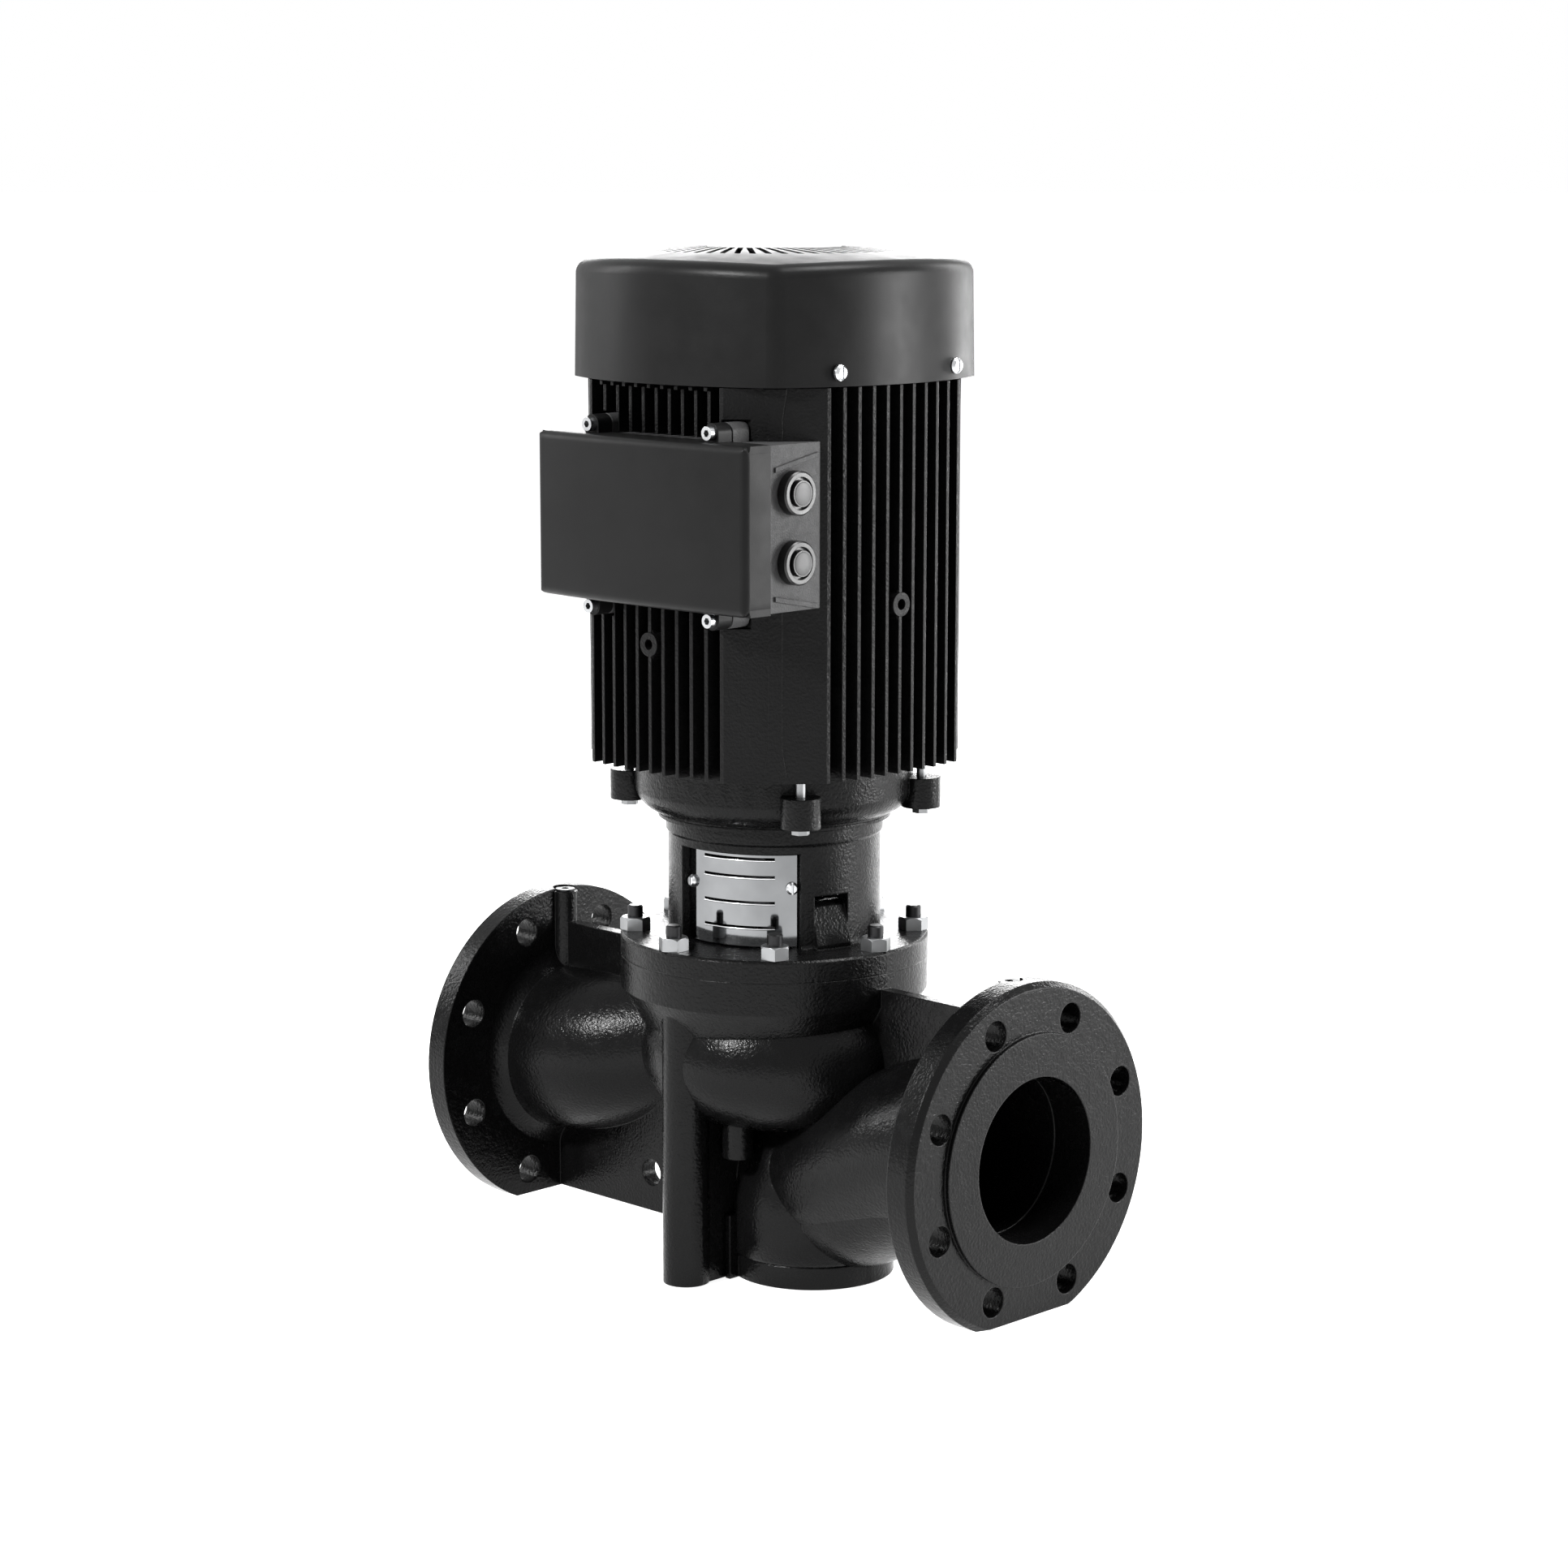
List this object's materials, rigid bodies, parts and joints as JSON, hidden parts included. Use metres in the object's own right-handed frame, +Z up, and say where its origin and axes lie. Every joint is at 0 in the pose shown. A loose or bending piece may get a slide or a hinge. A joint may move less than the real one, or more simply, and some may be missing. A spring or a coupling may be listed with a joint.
{
  "type": "in-line dry rotor circulator pump",
  "caption": "In-line circulator pump: cast housing with two flanged ports, motor stool, and a finned vertical motor with terminal box and fan cover.",
  "frame": {"origin": "on the pump axis in the plane of the foot, midway between the two tapped foot holes", "axes": "+Z up along the shaft, +X towards the suction port, -Y the way the terminal box looks"},
  "size_m": [0.45, 0.2514, 0.658],
  "materials": {
    "painted_casting": "semi-gloss black paint on a rough casting",
    "box_casting": "satin dark grey paint on a rough casting",
    "painted_sheet": "semi-gloss black paint",
    "zinc_plated": "zinc plated",
    "bright_steel": "ground",
    "stainless": "polished",
    "bronze": "machined",
    "grey_iron": "bare casting",
    "core_steel": "laminated",
    "copper": "varnished",
    "cast_aluminium": "as cast",
    "seal_carbon": "lapped",
    "seal_ceramic": "lapped",
    "seal_rubber": "matt",
    "plastic": "matt"
  },
  "bodies": {
    "pump": {"pump_housing": "painted_casting", "drain_plug": "zinc_plated", "gauge_plugs": "zinc_plated", "wear_ring": "bronze", "head_gasket": "seal_rubber", "head_studs": "zinc_plated", "head_nuts": "zinc_plated", "motor_stool": "painted_casting", "coupling_guard_front": "stainless", "coupling_guard_rear": "stainless", "guard_screws": "zinc_plated", "stool_bolts": "zinc_plated", "seal_seat": "seal_ceramic", "stator_core": "core_steel", "stator_windings": "copper", "lower_bearing_outer_race": "bright_steel", "upper_bearing_outer_race": "bright_steel", "wave_spring": "bright_steel", "drive_end_shield": "painted_casting", "shield_bolts": "zinc_plated", "fan_end_shield": "painted_casting", "stator_frame": "painted_casting", "fan_cover": "painted_sheet", "cover_screws": "zinc_plated", "terminal_box": "box_casting", "box_gasket": "seal_rubber", "terminal_lid": "painted_sheet", "lid_screws": "zinc_plated", "cable_plugs": "plastic", "terminal_block": "plastic", "terminal_posts": "bronze"},
    "rotor": {"impeller": "grey_iron", "pump_shaft": "stainless", "impeller_nut": "stainless", "seal_head": "seal_carbon", "seal_bellows": "seal_rubber", "coupling_half_front": "grey_iron", "coupling_half_rear": "grey_iron", "coupling_screws": "zinc_plated", "motor_shaft": "bright_steel", "rotor_core": "core_steel", "rotor_end_rings": "cast_aluminium", "shaft_slinger": "seal_rubber", "lower_bearing_inner_race": "bright_steel", "upper_bearing_inner_race": "bright_steel", "fan": "plastic", "fan_clip": "bright_steel"},
    "lower_ball_set": {"lower_bearing_balls": "bright_steel"},
    "upper_ball_set": {"upper_bearing_balls": "bright_steel"}
  },
  "joints": [
    {"name": "rotor_spin", "type": "hinge", "parent": "pump", "child": "rotor", "pos_m": [0, 0, 0.3155], "axis": [0, 0, 1], "continuous": true},
    {"name": "lower_balls_spin", "type": "hinge", "parent": "pump", "child": "lower_ball_set", "pos_m": [0, 0, 0.3155], "axis": [0, 0, 1], "continuous": true},
    {"name": "upper_balls_spin", "type": "hinge", "parent": "pump", "child": "upper_ball_set", "pos_m": [0, 0, 0.574], "axis": [0, 0, 1], "continuous": true}
  ],
  "couplings": [
    {"joint": "lower_balls_spin", "follows": "rotor_spin", "ratio": 0.3806},
    {"joint": "upper_balls_spin", "follows": "rotor_spin", "ratio": 0.3991}
  ]
}
